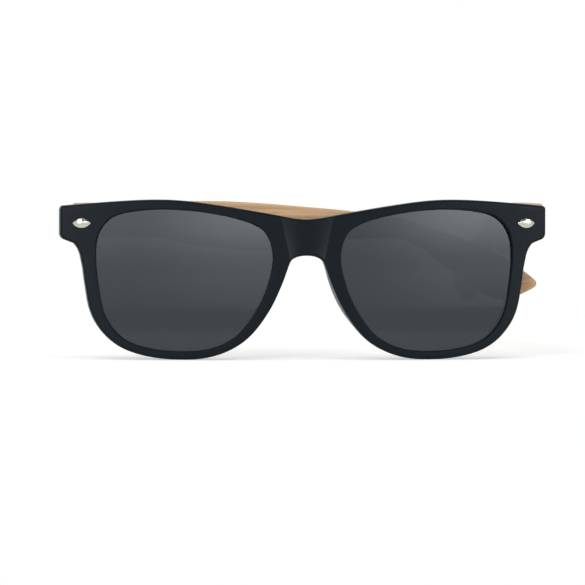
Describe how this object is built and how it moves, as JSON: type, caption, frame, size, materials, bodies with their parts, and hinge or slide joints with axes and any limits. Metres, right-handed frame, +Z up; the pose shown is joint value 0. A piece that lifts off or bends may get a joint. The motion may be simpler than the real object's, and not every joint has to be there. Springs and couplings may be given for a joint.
{
  "type": "sunglasses",
  "caption": "Sunglasses with a thick black plastic front, dark grey lenses, pointed oval rivets and folding bamboo temples with flared tips.",
  "frame": {"origin": "on the middle plane, under the bridge, level with the lowest points of the rims and with the front face of the bridge", "axes": "+X along the front to the right as seen from in front, +Y from the lenses towards the tips, +Z up"},
  "size_m": [0.145, 0.1518, 0.0473],
  "materials": {
    "front_plastic": "satin black moulded plastic",
    "lens": "clear dark grey tint",
    "rivet_metal": "polished silver",
    "hinge_steel": "plated steel",
    "screw_steel": "bright steel",
    "bamboo": "sanded and oiled, grain along the temple"
  },
  "bodies": {
    "front": {"front_frame": "front_plastic", "left_lens": "lens", "right_lens": "lens", "left_rivet_shield": "rivet_metal", "right_rivet_shield": "rivet_metal", "left_front_hinge": "hinge_steel", "right_front_hinge": "hinge_steel", "left_hinge_screw": "screw_steel", "right_hinge_screw": "screw_steel"},
    "left_arm": {"left_temple": "bamboo", "left_temple_hinge": "hinge_steel", "left_leaf_screws": "screw_steel"},
    "right_arm": {"right_temple": "bamboo", "right_temple_hinge": "hinge_steel", "right_leaf_screws": "screw_steel"}
  },
  "joints": [
    {"name": "left_temple_swing", "type": "hinge", "parent": "front", "child": "left_arm", "pos_m": [-0.06695, 0.015, 0.0403], "axis": [0, 0, 1], "range_deg": [0, 90]},
    {"name": "right_temple_swing", "type": "hinge", "parent": "front", "child": "right_arm", "pos_m": [0.06695, 0.015, 0.0403], "axis": [0, 0, 1], "range_deg": [0, 79]}
  ]
}
